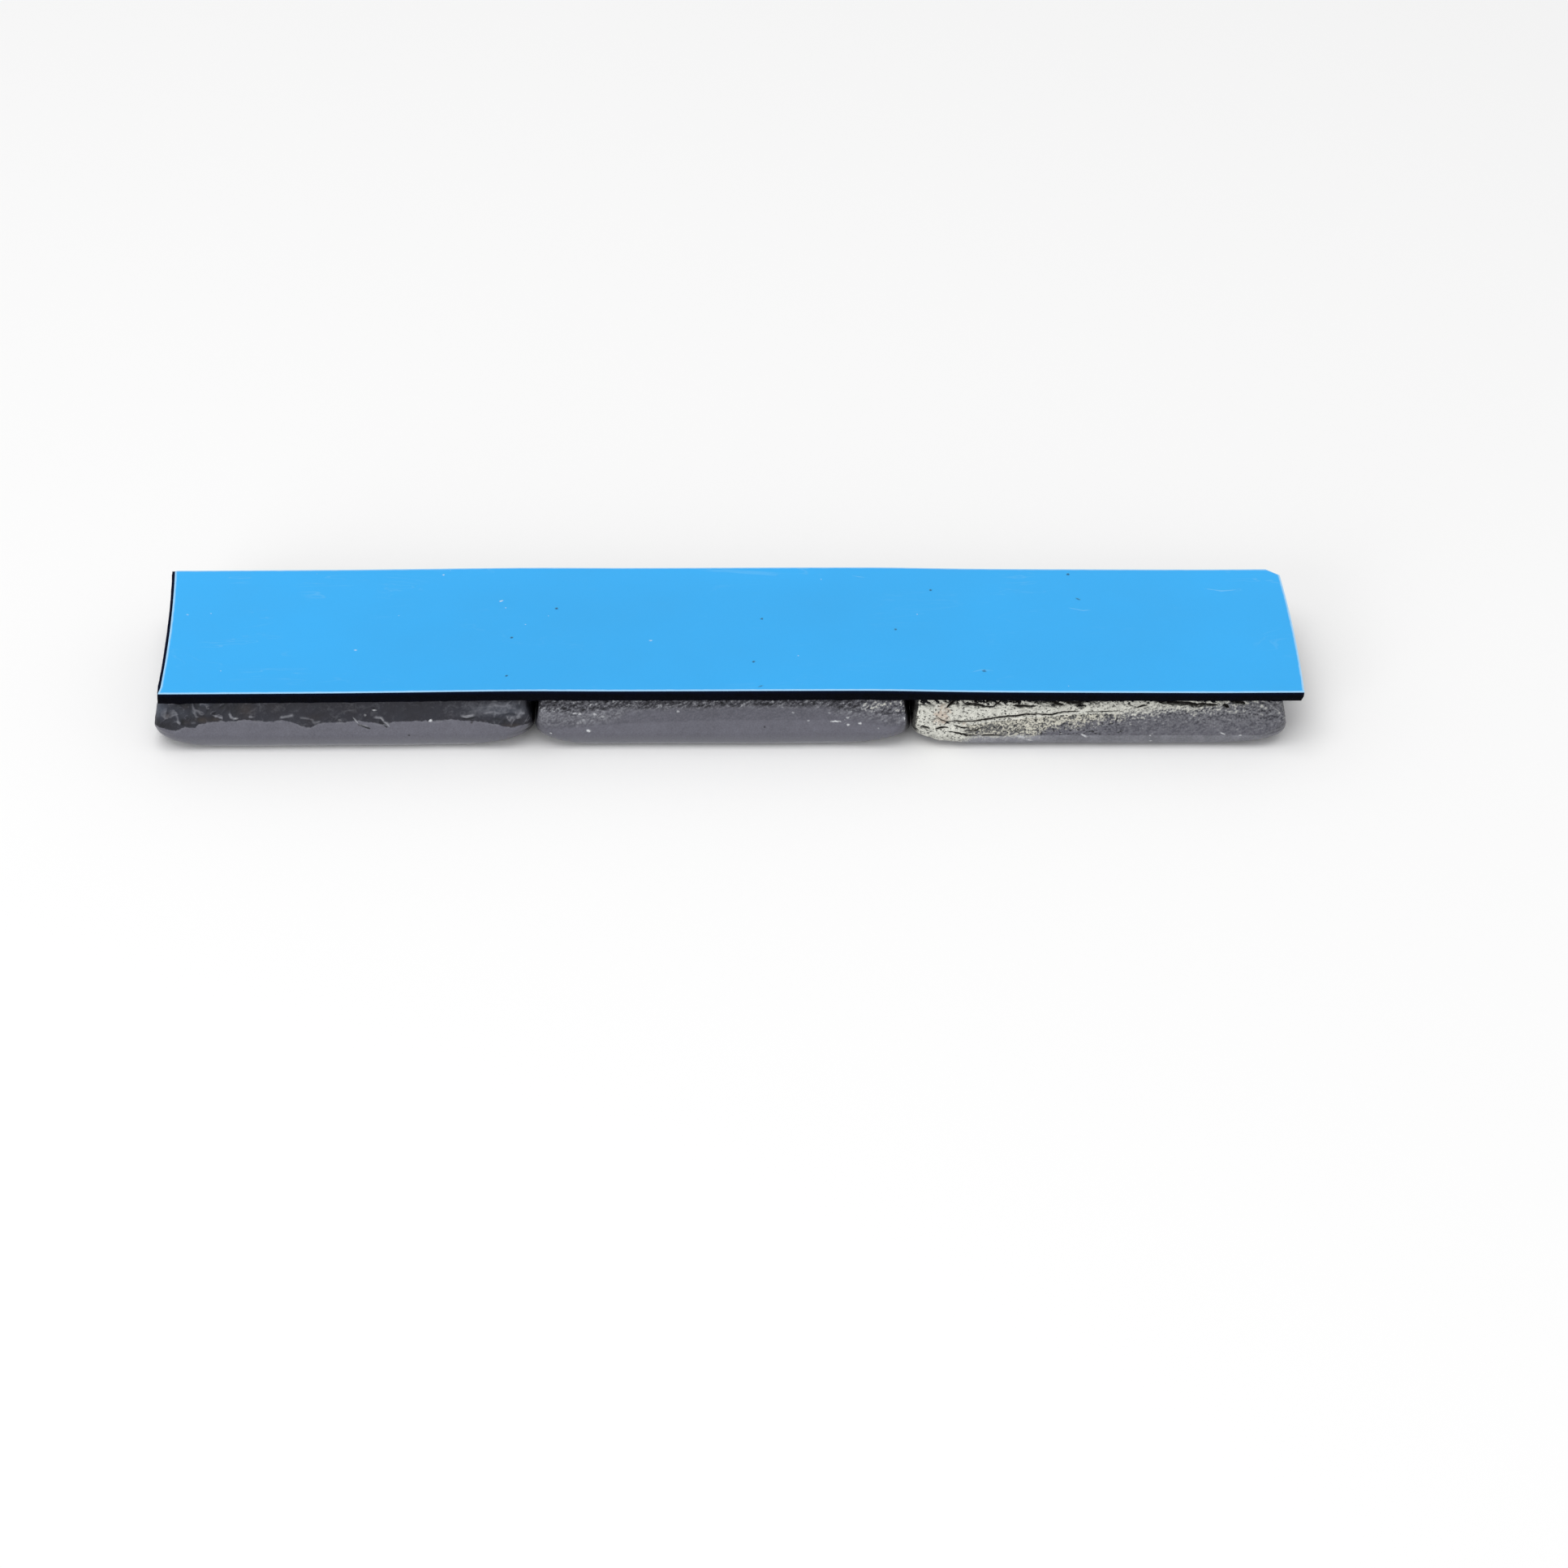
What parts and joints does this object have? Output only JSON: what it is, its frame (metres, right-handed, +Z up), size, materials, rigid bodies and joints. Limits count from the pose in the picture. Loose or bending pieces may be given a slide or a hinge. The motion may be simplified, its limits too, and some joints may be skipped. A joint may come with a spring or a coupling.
{
  "type": "wheel balance weight",
  "caption": "Stick-on wheel balance weight: drafted, round-crowned lead castings in a row on black foam tape under a blue peel-off liner.",
  "frame": {"origin": "centre of the bounding box's base, under the flat outer faces of the castings", "axes": "+X along the strip, +Y across it, +Z up from the castings' outer faces to the liner"},
  "size_m": [0.117, 0.0222, 0.0073],
  "materials": {
    "coated_lead": "glossy grey coat over cast lead, wrinkled near the tape",
    "scuffed_lead": "glossy grey coat over cast lead, gritty near the tape",
    "bare_lead": "cracked and whitened lead with the grey coat gone over about half",
    "foam": "matt closed-cell foam",
    "liner_film": "satin film"
  },
  "bodies": {
    "root": {"weight_left": "coated_lead", "weight_middle": "scuffed_lead", "weight_right": "bare_lead", "foam_tape": "foam", "release_liner": "liner_film"}
  },
  "joints": []
}
